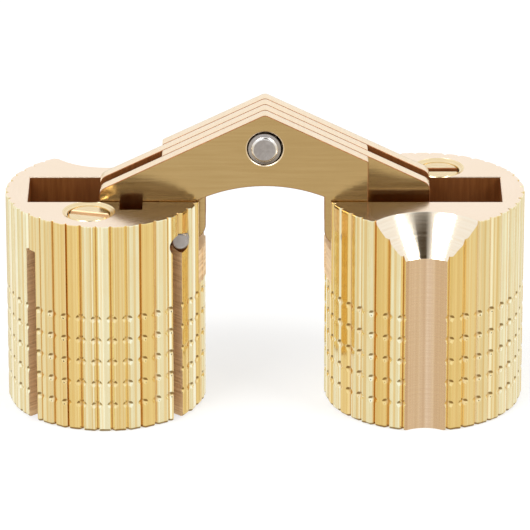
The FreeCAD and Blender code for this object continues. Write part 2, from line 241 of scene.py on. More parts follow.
def prism(name, outline, low, high, materials):
    """Prism: an outline in X and Z, counter-clockwise from the front, carried along Y."""
    flat = np.asarray(outline, float)
    ends = [np.column_stack([flat[:, 0], np.full(len(flat), y), flat[:, 1]]) for y in (high, low)]
    return solid(name, np.stack(ends), materials)


def upright(name, outlines, heights, materials):
    """Loft of level outlines, counter-clockwise from above, one at each height."""
    flat = np.asarray(outlines, float)
    level = np.broadcast_to(np.asarray(heights)[:, None, None], flat.shape[:2] + (1,))
    return solid(name, np.concatenate([flat, level], axis=2), materials)


def cut(piece, cutters):
    """Take closed cutters out of a piece in turn; each cut face keeps its cutter's finish."""
    for cutter in cutters:
        modifier = piece.modifiers.new("cut", "BOOLEAN")
        modifier.operation = "DIFFERENCE"
        modifier.solver = "EXACT"
        modifier.material_mode = "TRANSFER"
        modifier.object = cutter
        graph = bpy.context.evaluated_depsgraph_get()
        mesh = bpy.data.meshes.new_from_object(piece.evaluated_get(graph))
        piece.modifiers.clear()
        piece.data = mesh
        bpy.data.objects.remove(cutter)
    return piece


def move(piece, turn, shift, scale=1.0):
    """Move a piece's points: each times the turn, plus the shift, times the scale."""
    mesh = piece.data
    points = np.empty(len(mesh.vertices) * 3)
    mesh.vertices.foreach_get("co", points)
    turned_points = points.reshape(-1, 3) @ np.asarray(turn, float).T
    placed = (turned_points + np.asarray(shift, float)) * scale
    mesh.vertices.foreach_set("co", placed.ravel())
    mesh.update()


def settle(piece, turn, shift, sharp=SHARP):
    """Put a finished piece in its place in metres; edges are sharp by angle.

    Faces square to an axis are shaded flat. That comes last, because marking edges undoes it.
    """
    move(piece, turn, shift, MM)
    mesh = piece.data
    normals = np.empty(len(mesh.polygons) * 3)
    mesh.polygons.foreach_get("normal", normals)
    mesh.set_sharp_from_angle(angle=math.radians(sharp))
    rounded = np.abs(normals.reshape(-1, 3)).max(axis=1) < SQUARE_TO_AXIS
    mesh.polygons.foreach_set("use_smooth", rounded)
    mesh.update()


def stand_for(piece, node, body):
    """Let a finished piece take a node's place and move with its body."""
    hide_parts(node)
    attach(piece, body)


class Wiring:
    """Places nodes in one tree and joins them.

    A value is a number, a colour or the output of another node.
    """

    def __init__(self, tree):
        self.tree = tree

    def feed(self, socket, value):
        """Join an output to a socket, or set the socket."""
        if isinstance(value, bpy.types.NodeSocket):
            self.tree.links.new(value, socket)
        else:
            socket.default_value = value

    def put(self, kind, values=None, **settings):
        """New node with its settings and the values of its inputs."""
        node = self.tree.nodes.new(kind)
        for key, setting in settings.items():
            setattr(node, key, setting)
        for key, value in (values or {}).items():
            self.feed(node.inputs[key], value)
        return node

    def calc(self, operation, *values):
        """One step of arithmetic."""
        node = self.put("ShaderNodeMath", operation=operation)
        for socket, value in zip(node.inputs, values):
            self.feed(socket, value)
        return node.outputs[0]

    def times(self, one, two):
        """Product of two values."""
        return self.calc("MULTIPLY", one, two)

    def ramp(self, value, low, high, out_low=0.0, out_high=1.0):
        """Smooth step of a value from low to high."""
        node = self.put("ShaderNodeMapRange", interpolation_type="SMOOTHSTEP")
        for socket, given in zip(node.inputs, (value, low, high, out_low, out_high)):
            self.feed(socket, given)
        return node.outputs[0]

    def mix(self, share, one, two):
        """Colour between one and two."""
        node = self.put("ShaderNodeMix", data_type="RGBA")
        self.feed(node.inputs[0], share)
        self.feed(node.inputs[6], one)
        self.feed(node.inputs[7], two)
        return node.outputs[2]

    def tint(self, mask, amount, one, two):
        """Colour one with an amount of colour two where a mask is on."""
        return self.mix(self.times(mask, amount), one, two)


def shared_effect(name, inputs, outputs):
    """New node group with named sockets; gives its wiring, its inputs and its results."""
    tree = bpy.data.node_groups.new(name, "ShaderNodeTree")
    for label, kind, default in inputs:
        socket = tree.interface.new_socket(label, in_out="INPUT", socket_type=kind)
        socket.default_value = default
    for label in outputs:
        tree.interface.new_socket(label, in_out="OUTPUT", socket_type="NodeSocketFloat")
    wires = Wiring(tree)
    return wires, wires.put("NodeGroupInput").outputs, wires.put("NodeGroupOutput").inputs


def make_axis_effect():
    """Distance and angle from an upright axis at the same |X| in both halves of the hinge.

    With Fold Y at 1 the axis stands at the same |Y| as well.
    """
    wires, given, result = shared_effect(
        "distance_from_axis",
        [
            ("Axis X", "NodeSocketFloat", 0.0),
            ("Axis Y", "NodeSocketFloat", 0.0),
            ("Fold Y", "NodeSocketFloat", 0.0),
        ],
        ["Radius", "Angle", "Height"],
    )
    object_place = wires.put("ShaderNodeTexCoord").outputs["Object"]
    place = wires.put("ShaderNodeSeparateXYZ", {0: object_place}).outputs
    across = wires.calc("SUBTRACT", wires.calc("ABSOLUTE", place[0]), given["Axis X"])
    folded = wires.times(wires.calc("ABSOLUTE", place[1]), given["Fold Y"])
    plain = wires.times(place[1], wires.calc("SUBTRACT", 1.0, given["Fold Y"]))
    along = wires.calc("SUBTRACT", wires.calc("ADD", plain, folded), given["Axis Y"])
    squares = wires.calc("ADD", wires.times(across, across), wires.times(along, along))
    wires.feed(result["Radius"], wires.calc("SQRT", squares))
    wires.feed(result["Angle"], wires.calc("ARCTAN2", along, across))
    wires.feed(result["Height"], place[2])
    return wires.tree


def make_streak_effect():
    """Fine tool marks: noise squeezed by three scales, so that it runs along the smallest one."""
    wires, given, result = shared_effect(
        "tool_streaks",
        [
            ("Scale", "NodeSocketVector", (1.0, 1.0, 1.0)),
            ("Blotch", "NodeSocketFloat", 250.0),
        ],
        ["Streak", "Blotch"],
    )
    place = wires.put("ShaderNodeTexCoord").outputs["Object"]
    scaled = wires.put("ShaderNodeVectorMath", {0: place, 1: given["Scale"]}, operation="MULTIPLY")
    fine = wires.put(
        "ShaderNodeTexNoise",
        {"Vector": scaled.outputs[0], "Scale": 1.0, "Detail": 4.0, "Roughness": 0.65},
    )
    broad = wires.put(
        "ShaderNodeTexNoise", {"Vector": place, "Scale": given["Blotch"], "Detail": 3.0}
    )
    wires.feed(result["Streak"], wires.ramp(fine.outputs[0], 0.3, 0.7))
    wires.feed(result["Blotch"], wires.ramp(broad.outputs[0], 0.32, 0.68))
    return wires.tree


def make_mark_effect():
    """Turning marks: noise along one length only, such as the distance from an axis."""
    wires, given, result = shared_effect(
        "turning_marks",
        [("Length", "NodeSocketFloat", 0.0), ("Scale", "NodeSocketFloat", 9000.0)],
        ["Mark"],
    )
    along = wires.times(given["Length"], given["Scale"])
    fine = wires.put(
        "ShaderNodeTexNoise", {"W": along, "Scale": 1.0, "Detail": 3.0}, noise_dimensions="1D"
    )
    wires.feed(result["Mark"], wires.ramp(fine.outputs[0], 0.3, 0.7))
    return wires.tree


AXIS = make_axis_effect()
STREAKS = make_streak_effect()
MARKS = make_mark_effect()


def new_finish(name, metallic=1.0):
    """New finish; gives the material, its wiring and its shader."""
    material = bpy.data.materials.new(name)
    material.use_nodes = True
    wires = Wiring(material.node_tree)
    shader = material.node_tree.nodes["Principled BSDF"]
    shader.inputs["Metallic"].default_value = metallic
    return material, wires, shader


def colour(wires, shader, shade):
    """Give the shader its colour."""
    wires.feed(shader.inputs["Base Color"], shade)


def roughen(wires, shader, low, mask, span):
    """Roughness from low, where a mask is off, to low plus span, where it is on."""
    wires.feed(shader.inputs["Roughness"], wires.calc("ADD", low, wires.times(mask, span)))


def relief(wires, shader, height, distance, strength=0.5):
    """Bump the shader's normal by a height from 0 to 1 over a distance in metres."""
    bump = wires.put(
        "ShaderNodeBump", {"Strength": strength, "Distance": distance, "Height": height}
    )
    wires.feed(shader.inputs["Normal"], bump.outputs[0])


def axis_of(wires, x, y=0.0, fold=0.0):
    """Distance, angle and height from an axis at x, y in millimetres."""
    values = {"Axis X": x * MM, "Axis Y": y * MM, "Fold Y": fold}
    return wires.put("ShaderNodeGroup", values, node_tree=AXIS).outputs


def streaks_of(wires, scale, blotch):
    """Tool streaks for three scales per metre, and blotches for one."""
    values = {"Scale": scale, "Blotch": blotch}
    outputs = wires.put("ShaderNodeGroup", values, node_tree=STREAKS).outputs
    return outputs["Streak"], outputs["Blotch"]


def marks_of(wires, length, scale):
    """Turning marks along a length, or drawn lines along an angle."""
    values = {"Length": length, "Scale": scale}
    return wires.put("ShaderNodeGroup", values, node_tree=MARKS).outputs[0]


def ribbed_brass():
    """Polished brass of the ribs: pale lands with drawn lines, a painted reflection tone on each
    rib and painted shade in the valleys.
    """
    material, wires, shader = new_finish("ribbed_brass")
    axis = axis_of(wires, SPACING)
    streak, blotch = streaks_of(wires, (5200.0, 5200.0, 160.0), 420.0)
    # Painted shade: the valleys are coloured darker brass towards their floor, and the same mask
    # makes them rougher.
    land_edge, valley_edge = RADIUS - 0.14, RADIUS - 0.06 - VALLEY_DEPTH
    hollow = wires.ramp(axis["Radius"], land_edge * MM, valley_edge * MM)
    # Painted reflection: each rib gets a random tone between a pale highlight and deeper gold,
    # standing in for reflections that differ from rib to rib.
    rib = wires.calc("ROUND", wires.times(axis["Angle"], RIBS / (2 * math.pi)))
    rib_reflection = wires.put("ShaderNodeTexWhiteNoise", {"W": rib}, noise_dimensions="1D").outputs[0]
    shade = wires.mix(wires.ramp(rib_reflection, 0.35, 0.8), (1.0, 0.99, 0.75, 1), (0.93, 0.73, 0.32, 1))
    line = wires.ramp(marks_of(wires, axis["Angle"], 30.0), 0.45, 0.7)
    shade = wires.tint(line, 0.62, shade, (0.89, 0.64, 0.26, 1))
    shade = wires.mix(hollow, shade, (0.80, 0.57, 0.29, 1))
    shade = wires.tint(blotch, 0.2, shade, (0.96, 0.76, 0.40, 1))
    colour(wires, shader, wires.tint(streak, 0.1, shade, (0.78, 0.56, 0.26, 1)))
    rough = wires.calc("ADD", 0.07, wires.times(streak, 0.06))
    roughen(wires, shader, rough, hollow, 0.08)
    relief(wires, shader, streak, 3e-6)
    return material


def faced_brass():
    """Satin turned end face: pale pinkish brass with fine rings about the barrel's axis."""
    material, wires, shader = new_finish("faced_brass")
    mark = marks_of(wires, axis_of(wires, SPACING)["Radius"], 9000.0)
    _, blotch = streaks_of(wires, (900.0, 900.0, 900.0), 300.0)
    shade = wires.tint(mark, 0.15, (0.965, 0.805, 0.64, 1), (0.88, 0.70, 0.52, 1))
    colour(wires, shader, wires.tint(blotch, 0.25, shade, (0.92, 0.745, 0.545, 1)))
    roughen(wires, shader, 0.17, mark, 0.07)
    relief(wires, shader, mark, 1.2e-6)
    return material


def seat_brass():
    """Bright countersunk cone: near-white polished brass with level rings."""
    material, wires, shader = new_finish("seat_brass")
    mark = marks_of(wires, axis_of(wires, SPACING, SEAT_Y, 1.0)["Height"], 7000.0)
    shade = wires.tint(mark, 0.35, (0.93, 0.835, 0.69, 1), (0.83, 0.66, 0.45, 1))
    colour(wires, shader, shade)
    roughen(wires, shader, 0.09, mark, 0.06)
    relief(wires, shader, mark, 1e-6)
    return material


def shank_brass():
    """Reamed shank groove: tan satin brass with lines along it and faint rings."""
    material, wires, shader = new_finish("shank_brass")
    axis = axis_of(wires, SPACING, SEAT_Y, 1.0)
    streak, _ = streaks_of(wires, (4200.0, 4200.0, 150.0), 300.0)
    mark = marks_of(wires, axis["Height"], 5200.0)
    line = marks_of(wires, axis["Angle"], 7.0)
    shade = wires.tint(streak, 0.3, (0.76, 0.55, 0.37, 1), (0.62, 0.43, 0.27, 1))
    shade = wires.tint(line, 0.5, shade, (0.97, 0.78, 0.57, 1))
    colour(wires, shader, wires.tint(mark, 0.05, shade, (0.52, 0.35, 0.2, 1)))
    roughen(wires, shader, 0.24, mark, 0.08)
    relief(wires, shader, mark, 1.5e-6)
    return material


def sawn_brass():
    """Sawn walls of the slits and the smooth mouth: matt tan brass with fine level saw marks."""
    material, wires, shader = new_finish("sawn_brass", 0.35)
    streak, blotch = streaks_of(wires, (300.0, 300.0, 7600.0), 500.0)
    colour(wires, shader, wires.mix(streak, (0.95, 0.72, 0.45, 1), (0.66, 0.45, 0.24, 1)))
    roughen(wires, shader, 0.36, blotch, 0.16)
    relief(wires, shader, streak, 1.4e-5, 0.9)
    return material


def painted_shade_brass():
    """Painted shade for the walls of the slot, other recesses and the hidden plate faces:
    unpolished brass painted dark brown, with lines down the cut.
    """
    material, wires, shader = new_finish("painted_shade_brass", 0.5)
    streak, blotch = streaks_of(wires, (3600.0, 3600.0, 260.0), 260.0)
    shade = wires.mix(streak, (0.37, 0.135, 0.036, 1), (0.26, 0.088, 0.02, 1))
    colour(wires, shader, wires.tint(blotch, 0.4, shade, (0.22, 0.072, 0.016, 1)))
    roughen(wires, shader, 0.34, blotch, 0.18)
    relief(wires, shader, streak, 6e-6, 0.6)
    return material


def plate_brass():
    """Faces of the link plates: olive gold, brushed along the plate."""
    material, wires, shader = new_finish("plate_brass")
    streak, blotch = streaks_of(wires, (220.0, 3000.0, 6400.0), 180.0)
    shade = wires.tint(streak, 0.4, (0.56, 0.395, 0.18, 1), (0.46, 0.30, 0.12, 1))
    colour(wires, shader, wires.tint(blotch, 0.3, shade, (0.46, 0.31, 0.125, 1)))
    roughen(wires, shader, 0.15, streak, 0.1)
    relief(wires, shader, streak, 1.5e-6)
    return material


def edge_brass():
    """Sheared edges of the link plates: pale bright brass with lines across the thickness."""
    material, wires, shader = new_finish("edge_brass")
    streak, blotch = streaks_of(wires, (3800.0, 260.0, 3800.0), 400.0)
    shade = wires.tint(streak, 0.2, (0.95, 0.785, 0.575, 1), (0.80, 0.60, 0.37, 1))
    colour(wires, shader, shade)
    roughen(wires, shader, 0.2, blotch, 0.14)
    relief(wires, shader, streak, 1.5e-6, 0.4)
    return material


def pin_steel():
    """Drawn steel of the rivet and the pins: cool grey, spotted, with fine lines."""
    material, wires, shader = new_finish("pin_steel")
    streak, blotch = streaks_of(wires, (4200.0, 600.0, 4200.0), 900.0)
    shade = wires.tint(streak, 0.5, (0.49, 0.465, 0.46, 1), (0.31, 0.29, 0.29, 1))
    colour(wires, shader, wires.tint(blotch, 0.3, shade, (0.30, 0.275, 0.265, 1)))
    roughen(wires, shader, 0.24, blotch, 0.18)
    relief(wires, shader, streak, 5e-6)
    return material


def highlight_steel():
    """Pale steel of the rivet's rolled edge: a painted highlight on its ring."""
    material, wires, shader = new_finish("highlight_steel")
    streak, blotch = streaks_of(wires, (3000.0, 3000.0, 3000.0), 900.0)
    shade = wires.tint(blotch, 0.4, (0.93, 0.91, 0.89, 1), (0.72, 0.69, 0.67, 1))
    colour(wires, shader, shade)
    roughen(wires, shader, 0.12, streak, 0.1)
    return material


def screw_brass():
    """Turned brass of the expansion screws: bright gold with fine rings about the screw."""
    material, wires, shader = new_finish("screw_brass")
    axis = axis_of(wires, SPACING - SCREW_PLACE[0], -SCREW_PLACE[1], 1.0)
    mark = marks_of(wires, axis["Radius"], 8000.0)
    _, blotch = streaks_of(wires, (1500.0, 1500.0, 1500.0), 700.0)
    shade = wires.tint(mark, 0.4, (0.92, 0.77, 0.5, 1), (0.72, 0.52, 0.24, 1))
    colour(wires, shader, wires.tint(blotch, 0.2, shade, (0.66, 0.46, 0.2, 1)))
    roughen(wires, shader, 0.16, mark, 0.12)
    relief(wires, shader, mark, 5e-6, 0.6)
    return material


RIBBED = ribbed_brass()
FACED = faced_brass()
SEAT = seat_brass()
SHANK = shank_brass()
SAWN = sawn_brass()
# Dark brown brass that paints the shade in recesses and between the plates.
SLOT = painted_shade_brass()
FACE = plate_brass()
EDGE = edge_brass()
STEEL = pin_steel()
BRIGHT = highlight_steel()
SCREW = screw_brass()


def soft_max(one, two, round_off):
    """Larger of two arrays with the crease between them rounded off."""
    return (one + two + np.sqrt((one - two) ** 2 + round_off ** 2)) / 2


def vee_depth(distance, half_width, depth, round_off):
    """Depth of a V cut: depth * (1 - distance / half width), at least 0, with rounded creases."""
    from_point = np.sqrt(distance ** 2 + round_off ** 2)
    return soft_max(depth * (1 - from_point / half_width), 0.0, round_off / 2)


def broken_edge(distance, size):
    """Depth of a quarter-round edge: size * (1 - sqrt(1 - (1 - distance / size)^2))."""
    return size * (1 - np.sqrt(1 - np.clip(1 - distance / size, 0, 1) ** 2))


def rib_lean():
    """Small slopes of the two halves of each land, so that no two ribs catch the light alike."""
    return np.random.default_rng(LEAN_SEED).uniform(-LAND_LEAN, LAND_LEAN, (2, RIBS))


def rib_angles(pitch):
    """Angles of the columns, crowded at the valleys so that the grid follows every crease."""
    off_valley = [0.0, 0.02, 0.06, 0.11, 0.16, 0.19, 0.23, 0.28, 0.33, 0.37, 0.43, 0.52]
    off_valley = np.array(off_valley) / RADIUS
    one_rib = np.concatenate([-off_valley[:0:-1], off_valley, [pitch / 2]])
    return (np.arange(RIBS)[:, None] * pitch + pitch / 2 + one_rib).ravel()


def ring_rows():
    """Heights of the rows, crowded at the rings, at both ends and at the foot of the mouth."""
    off_ring = np.array([0.04, 0.1, 0.17, 0.23, 0.27, 0.31])
    off_ring = np.concatenate([-off_ring[::-1], [0.0], off_ring])
    foot = [0.0, 0.04, 0.12, FOOT_BREAK, FOOT_BREAK + 0.1]
    rim = [RIM - 0.2, RIM - RIM_BREAK, RIM - 0.02, RIM]
    mouth = [MOUTH_FOOT, MOUTH_FOOT + MOUTH_FADE]
    rings = (RING_HEIGHTS[:, None] + off_ring).ravel()
    return np.sort(np.concatenate([np.array(foot + rim + mouth), rings]))


def barrel_blank():
    """Ribbed blank: radius(a, z) = (land(a) - valley(a, z) - ring(z) - ends(z)) / cos(off rib).

    At each ring the valleys open wider, which pinches the lands. Each land has two facets with
    slopes of their own. The mouth of the slot has no valleys.
    """
    pitch = 2 * math.pi / RIBS
    angle = rib_angles(pitch)
    height = ring_rows()
    off_rib = (angle + pitch / 2) % pitch - pitch / 2
    nearest = np.abs(height[:, None] - RING_HEIGHTS).min(axis=1)
    ring = vee_depth(nearest, RING_HALF, 1.0, RING_ROUND)[:, None]
    half = VALLEY_HALF + RING_PINCH * ring
    off_valley = RADIUS * (pitch / 2 - np.abs(off_rib))[None]
    valley = vee_depth(off_valley, half, VALLEY_DEPTH, VALLEY_ROUND)
    mouth = (np.cos(angle) > 0) & (np.abs(np.sin(angle)) < MOUTH_HALF / RADIUS)
    fade = np.clip((height - MOUTH_FOOT) / MOUTH_FADE, 0, 1)[:, None]
    valley = valley * (1 - mouth[None] * fade)
    ends = broken_edge(height, FOOT_BREAK) + broken_edge(RIM - height, RIM_BREAK)
    rib = np.round(angle / pitch).astype(int) % RIBS
    before, after = rib_lean()[:, rib]
    tilt = RADIUS * np.where(off_rib < 0, -before, after) * off_rib
    depth = valley + RING_DEPTH * ring + ends[:, None] + tilt[None] + LEAN_ROOM
    radius = (RADIUS - LAND_DROP - depth) / np.cos(off_rib)[None]
    rings = round_rings(radius, angle, height[:, None])
    wall = 2 * (mouth[None] & (height[:-1] > MOUTH_FOOT)[:, None])
    return solid("barrel_blank", rings, [RIBBED, FACED, SAWN], wall, 1)


def rectangle(x_low, x_high, half, grow=0.0):
    """Corners of a level rectangle, counter-clockwise from above, grown on every side."""
    return [
        (x_low - grow, -half - grow),
        (x_high + grow, -half - grow),
        (x_high + grow, half + grow),
        (x_low - grow, half + grow),
    ]


def slot_cutters():
    """Cutters of the slot, of its sawn opening on the inner side and of its broken top edges."""
    sloped_floor = [
        (POCKET_END, POCKET_LIP),
        (FLOOR_START, OPEN_FLOOR),
        (BEYOND, OPEN_FLOOR),
        (BEYOND, ABOVE),
    ]
    opening_side = [(OPENING_START, ABOVE), (OPENING_START, POCKET_LIP)] + sloped_floor
    slot_side = [
        (SLOT_END, ABOVE),
        (SLOT_END, LIP),
        (RELIEF_END, LIP),
        (RELIEF_END, BELOW),
        (POCKET_END, BELOW),
    ] + sloped_floor
    edges = [rectangle(SLOT_END, BEYOND, SLOT_HALF, grow) for grow in (0.0, 2 * EDGE_BREAK)]
    edge_heights = [RIM - EDGE_BREAK, RIM + EDGE_BREAK]
    return [
        prism("opening_cutter", opening_side, -SLOT_HALF, SLOT_HALF, [SAWN]),
        # The slot's walls carry painted shade.
        prism("slot_cutter", slot_side, -SLOT_HALF, SLOT_HALF, [SLOT]),
        upright("slot_edge_cutter", edges, edge_heights, [FACED]),
    ]


def guide_cutter():
    """Cutter of the guide groove in the slot's front wall."""
    guide_side = [
        (GUIDE_X[0], ABOVE),
        (GUIDE_X[0], GUIDE_BEND[0]),
        (GUIDE_BOW, GUIDE_BEND[1]),
        (GUIDE_BOW, GUIDE_FLOOR),
        (GUIDE_X[1], GUIDE_FLOOR),
        (GUIDE_X[1], ABOVE),
    ]
    # The groove's walls carry the painted shade of the slot.
    return prism("guide_cutter", guide_side, GUIDE_Y[0], GUIDE_Y[1], [SLOT])


def pivot_cutters():
    """Cutters of the pivot hole and of its mouth, laid along Y."""
    cutters = []
    for name, radius, reach, drop in (
        ("pivot_cutter", PIVOT_HOLE_RADIUS, PIVOT_HOLE_REACH, 0.0),
        ("pivot_mouth_cutter", PIVOT_MOUTH_RADIUS, PIVOT_MOUTH_REACH, PIVOT_MOUTH_DROP),
    ):
        # Both carry painted shade; the mouth's drop shows it as a dark crescent under the pin.
        cutter = turned(name, [(radius, end) for end in reach], [SLOT], steps=40)
        move(cutter, TOP_TO_FRONT, (PIVOT[0], 0.0, PIVOT[1] - drop))
        cutters.append(cutter)
    return cutters


def screw_hole_cutter():
    """Cutter of the expansion screw's blind hole and its flared mouth."""
    hole = [
        (SCREW_HOLE_RADIUS, SCREW_TOP - SCREW_LENGTH - SCREW_HOLE_DROP),
        (SCREW_HOLE_RADIUS, SCREW_TOP - SCREW_HOLE_DROP),
    ]
    return turned("screw_hole_cutter", hole + SCREW_MOUTH, [SCREW], SCREW_PLACE)


def seat_cutters():
    """Cutters of the wood screw's shank groove and of its half countersink."""
    centre = (0.0, SEAT_Y)
    shank = [(SHANK_RADIUS, BELOW), (SHANK_RADIUS, ABOVE)]
    slope = (SEAT_RADIUS - SHANK_RADIUS) / SEAT_DEPTH
    cone = [
        (SHANK_RADIUS - slope * SEAT_OVERLAP, RIM - SEAT_DEPTH - SEAT_OVERLAP),
        (SEAT_RADIUS - slope * SEAT_BREAK, RIM - SEAT_BREAK),
        SEAT_FLARE,
    ]
    return [
        turned("shank_cutter", shank, [SHANK], centre, 96),
        turned("seat_cutter", cone, [SEAT], centre, 96),
    ]


def slit_cutters():
    """Cutters of the two saw slits, from the slot outward on both sides of the front."""
    cutters = []
    reach = np.array(rectangle(SLOT_HALF, BEYOND, SLIT_WIDTH / 2))
    for name, angle in (("outer", -90 - SLIT_ANGLE), ("inner", -90 + SLIT_ANGLE)):
        cosine, sine = math.cos(math.radians(angle)), math.sin(math.radians(angle))
        level = reach @ np.array([[cosine, sine], [-sine, cosine]])
        cutter = upright(f"{name}_slit_cutter", [level, level], [BELOW, SLIT_TOP], [SAWN])
        cutters.append(cutter)
    return cutters


def make_barrels():
    """Both barrels from one cut blank, the right one turned half round."""
    cutters = slot_cutters() + [guide_cutter()] + pivot_cutters() + [screw_hole_cutter()]
    left = cut(barrel_blank(), cutters + seat_cutters() + slit_cutters())
    left.name = "left_barrel_ribbed"
    right = in_scene("right_barrel_ribbed", left.data.copy())
    settle(left, STRAIGHT, (-SPACING, 0.0, 0.0))
    settle(right, HALF_TURN, (SPACING, 0.0, 0.0))
    stand_for(left, "left_barrel", "left_barrel")
    stand_for(right, "right_barrel", "right_barrel")


def arc(centre, radius, start, end, steps):
    """Points on a circle from a start angle to an end angle in degrees."""
    angle = np.radians(np.linspace(start, end, steps))
    x, z = centre[0] + radius * np.cos(angle), centre[1] + radius * np.sin(angle)
    return np.column_stack([x, z])


def fillet(before, corner, after, radius, steps=7):
    """Arc that rounds a corner: its centre on the bisector, its ends where it touches the sides."""
    before, corner, after = (np.asarray(point, float) for point in (before, corner, after))
    to_before = (before - corner) / np.linalg.norm(before - corner)
    to_after = (after - corner) / np.linalg.norm(after - corner)
    half = math.acos(float(np.clip(to_before @ to_after, -1, 1))) / 2
    bisector = (to_before + to_after) / np.linalg.norm(to_before + to_after)
    centre = corner + bisector * radius / math.sin(half)
    first = corner + to_before * radius / math.tan(half) - centre
    last = corner + to_after * radius / math.tan(half) - centre
    start = math.atan2(first[1], first[0])
    sweep = (math.atan2(last[1], last[0]) - start + math.pi) % (2 * math.pi) - math.pi
    return arc(centre, radius, math.degrees(start), math.degrees(start + sweep), steps)


def arch_point(x):
    """Point of the arch under the link at a given X."""
    return (x, ARCH_CENTRE + math.sqrt(ARCH_RADIUS ** 2 - x ** 2))


def arch_angle(point):
    """Angle of a point of the arch about the arch's centre, in degrees."""
    return math.degrees(math.atan2(point[1] - ARCH_CENTRE, point[0]))


def link_outline():
    """Outline of a link, counter-clockwise from the front: eye, end, apex, corner, leg, arch."""
    end = EYE[0] + EYE_RADIUS
    end_top = (end, APEX - end * SLOPE)
    apex = (0, APEX)
    corner = (LEG_OUTER, APEX + LEG_OUTER * SLOPE)
    shoulder = (LEG_OUTER, SHOULDER)
    foot_left = (LEG[0] - EYE_RADIUS, LEG[1])
    start, stop = arch_angle(arch_point(LEG_INNER)), arch_angle(arch_point(NECK))
    neck_foot = (NECK, EYE[1] - EYE_RADIUS)
    return np.concatenate(
        [
            fillet(arch_point(NECK), neck_foot, (end, neck_foot[1]), NECK_ROUND, 12),
            arc(EYE, EYE_RADIUS, 270, 360, 12),
            fillet((end, EYE[1]), end_top, apex, END_ROUND),
            fillet(end_top, apex, corner, APEX_ROUND),
            fillet(apex, corner, shoulder, CORNER_ROUND, 10),
            fillet(corner, shoulder, foot_left, SHOULDER_ROUND),
            arc(LEG, EYE_RADIUS, 180, 360, 24),
            arc((0, ARCH_CENTRE), ARCH_RADIUS, start, stop, 40),
        ]
    )


def inset(outline, distance):
    """Outline moved inward: each point goes along the mitre of its two sides."""
    side = np.roll(outline, -1, axis=0) - outline
    length = np.linalg.norm(side, axis=1)[:, None]
    normal = np.column_stack([-side[:, 1], side[:, 0]]) / length
    before = np.roll(normal, 1, axis=0)
    mitre = (normal + before) / (1 + (normal * before).sum(axis=1))[:, None]
    return outline + mitre * distance


def edge_rings(loop, edge):
    """Rings of one rounded edge from the back face to the front one.

    The loop moves in by edge * (1 - sin a) while it goes edge * (1 - cos a) from a face.
    """
    quarter = np.radians([0, 30, 60, 90])
    moves = edge * (1 - np.sin(quarter))
    depths = edge * (1 - np.cos(quarter)) - PLATE / 2
    rings = []
    for depth, step in zip(np.append(-depths, depths[::-1]), np.append(moves, moves[::-1])):
        flat = inset(loop, step)
        rings.append(np.column_stack([flat[:, 0], np.full(len(flat), depth), flat[:, 1]]))
    return rings


def face_triangles(caps, outward):
    """Triangles of a flat face from its loops, (ring, first index), turned to face outward in Y."""
    index = np.concatenate([start + np.arange(len(ring)) for ring, start in caps])
    where = np.concatenate([ring for ring, _ in caps])
    flat_loops = [[Vector((x, z, 0)) for x, _, z in ring] for ring, _ in caps]
    triangles = np.array(tessellate_polygon(flat_loops))
    one, two, three = (where[triangles[:, k]] for k in range(3))
    facing = np.cross(two - one, three - one)[:, 1] * outward
    return index[np.where((facing > 0)[:, None], triangles, triangles[:, ::-1])]


def rounded_plate(name, outline, holes, shaded_side):
    """Flat plate with rounded edges: its outline and holes, carried from the back to the front.

    The rounding of the outline and the face on the side given last, -1 the front or 1 the back,
    carry painted shade: the shade in the gaps between the plates.
    """
    face, edge_finish, dark = 0, 1, 2
    loops = [(outline, PLATE_EDGE, dark)]
    for centre, radius, edge in holes:
        loops.append((arc(centre, radius, 360, 360 / 48, 48), edge, edge_finish))
    points, faces, kinds, front, back = [], [], [], [], []
    first = 0
    for loop, edge, rounding in loops:
        rings = edge_rings(loop, edge)
        points += rings
        faces += grid_quads(len(rings), len(loop), first).tolist()
        wall = np.full((len(rings) - 1, len(loop)), rounding)
        wall[len(rings) // 2 - 1] = edge_finish
        kinds += wall.ravel().tolist()
        back.append((rings[0], first))
        front.append((rings[-1], first + (len(rings) - 1) * len(loop)))
        first += len(rings) * len(loop)
    for caps, outward in ((front, -1.0), (back, 1.0)):
        triangles = face_triangles(caps, outward)
        faces += triangles.tolist()
        kinds += [dark if outward == shaded_side else face] * len(triangles)
    return meshed(name, np.concatenate(points), faces, [FACE, EDGE, SLOT], kinds)


# Each link: its node, its body, and the side of the unturned plate whose face carries painted
# shade, -1 the front or 1 the back.
LINKS = (
    ("front_link", "links_a", 1),
    ("front_inner_link", "links_b", -1),
    ("back_inner_link", "links_a", -1),
    ("back_link", "links_b", 1),
)


def make_links():
    """Four equal link plates from front to back, every second one turned half round."""
    outline = link_outline()
    holes = [
        ((0.0, 0.0), RIVET_HOLE_RADIUS, RIVET_HOLE_EDGE),
        (EYE, EYE_HOLE_RADIUS, PIN_HOLE_EDGE),
        (LEG, LEG_HOLE_RADIUS, PIN_HOLE_EDGE),
    ]
    for layer, (node, body, shaded_side) in enumerate(LINKS):
        plate = rounded_plate(f"{node}_plate", outline, holes, shaded_side)
        turn = HALF_TURN if layer % 2 else STRAIGHT
        settle(plate, turn, (0.0, (layer - 1.5) * PLATE_PITCH, RIVET_HEIGHT), PLATE_SHARP)
        stand_for(plate, node, body)


def pin_profile(radius, length):
    """Half profile of a pin with broken ends."""
    small = PIN_BREAK * 0.3
    return [
        (radius - PIN_BREAK, 0.0),
        (radius - small, small),
        (radius, PIN_BREAK),
        (radius, length - PIN_BREAK),
        (radius - small, length - small),
        (radius - PIN_BREAK, length),
    ]


